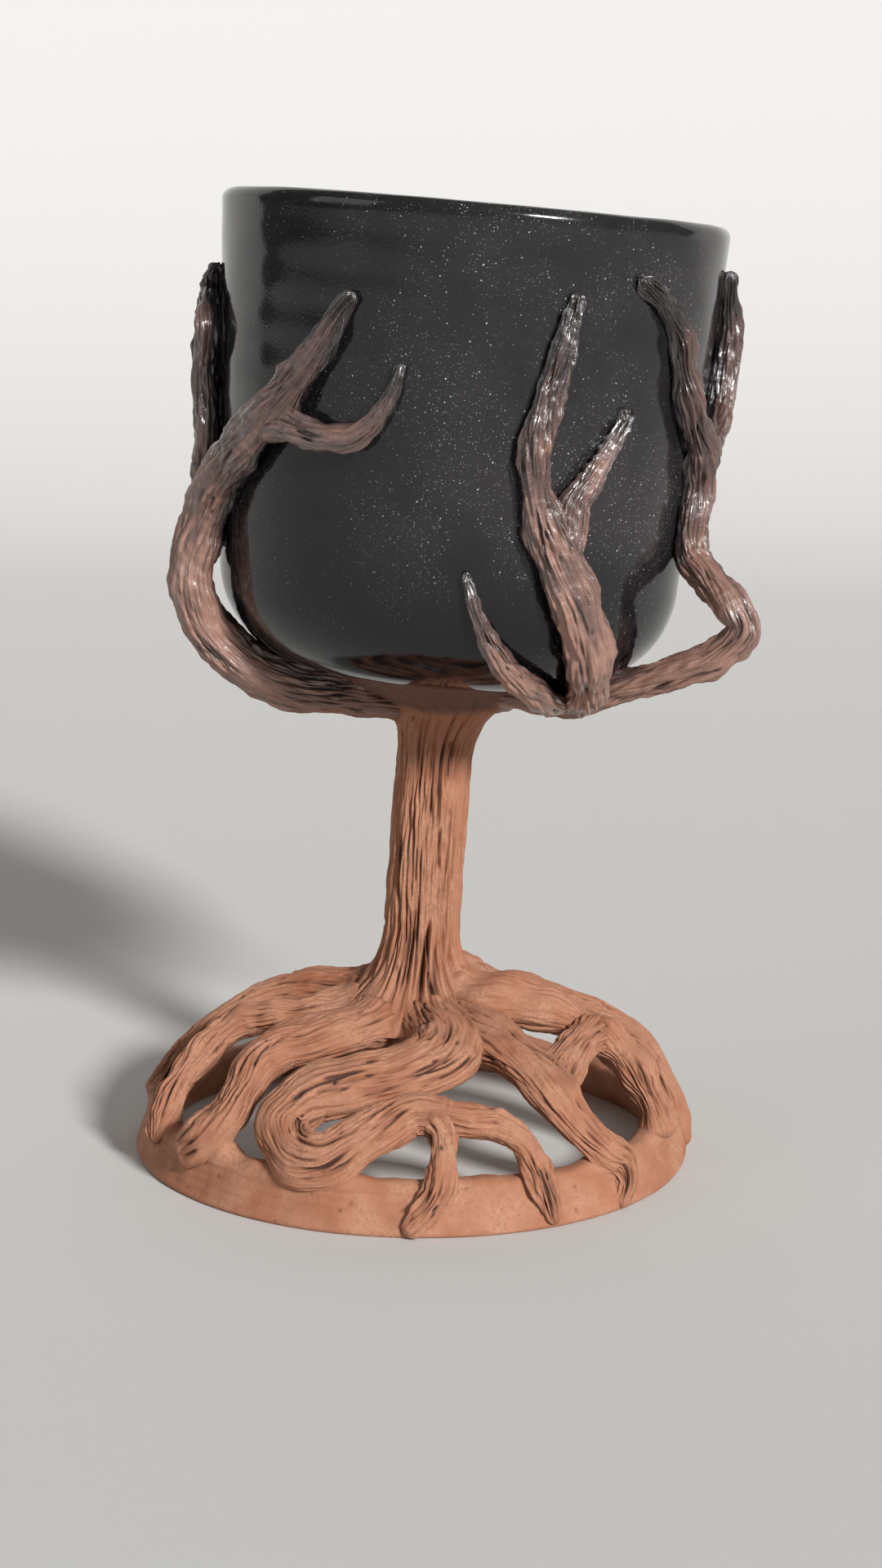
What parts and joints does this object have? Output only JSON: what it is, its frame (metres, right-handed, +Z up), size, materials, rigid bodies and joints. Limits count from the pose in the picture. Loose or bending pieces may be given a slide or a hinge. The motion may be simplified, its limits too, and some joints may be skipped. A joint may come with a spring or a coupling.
{
  "type": "ceramic chalice",
  "caption": "Tree-shaped ceramic chalice: a black glazed cup held by bark-covered limbs on a trunk whose arching roots stand on a foot ring; holds drink.",
  "frame": {"origin": "middle of the bounding box, on the plane that the foot ring stands on", "axes": "+Z up through the cup, -Y towards the viewer of the front, +X to the viewer's right, towards the wide elbow limb"},
  "size_m": [0.12, 0.1132, 0.1896],
  "materials": {
    "black_glaze": "black glossy glaze with fine pale sparkle specks",
    "bare_clay": "matte fired terracotta with carved bark lines",
    "glazed_clay": "terracotta under a thin dark glossy glaze, black in the carved lines"
  },
  "bodies": {
    "root": {"cup_bowl": "black_glaze", "trunk": "bare_clay", "foot_ring": "bare_clay", "left_limb": "glazed_clay", "left_limb_twig": "glazed_clay", "left_rear_limb": "glazed_clay", "left_rear_twig": "glazed_clay", "right_limb": "glazed_clay", "right_limb_twig": "glazed_clay", "front_limb": "glazed_clay", "front_limb_twig": "glazed_clay", "front_sprout": "glazed_clay", "rear_limb": "glazed_clay", "rear_limb_twig": "glazed_clay", "rear_right_limb": "glazed_clay", "rear_right_twig": "glazed_clay", "front_root": "bare_clay", "front_root_leg": "bare_clay", "front_root_spur": "bare_clay", "left_root": "bare_clay", "left_root_branch": "bare_clay", "rear_left_root": "bare_clay", "right_front_root": "bare_clay", "root_bridge": "bare_clay", "right_root": "bare_clay", "rear_right_root": "bare_clay", "rear_root": "bare_clay", "rear_root_runner": "bare_clay"}
  },
  "joints": []
}
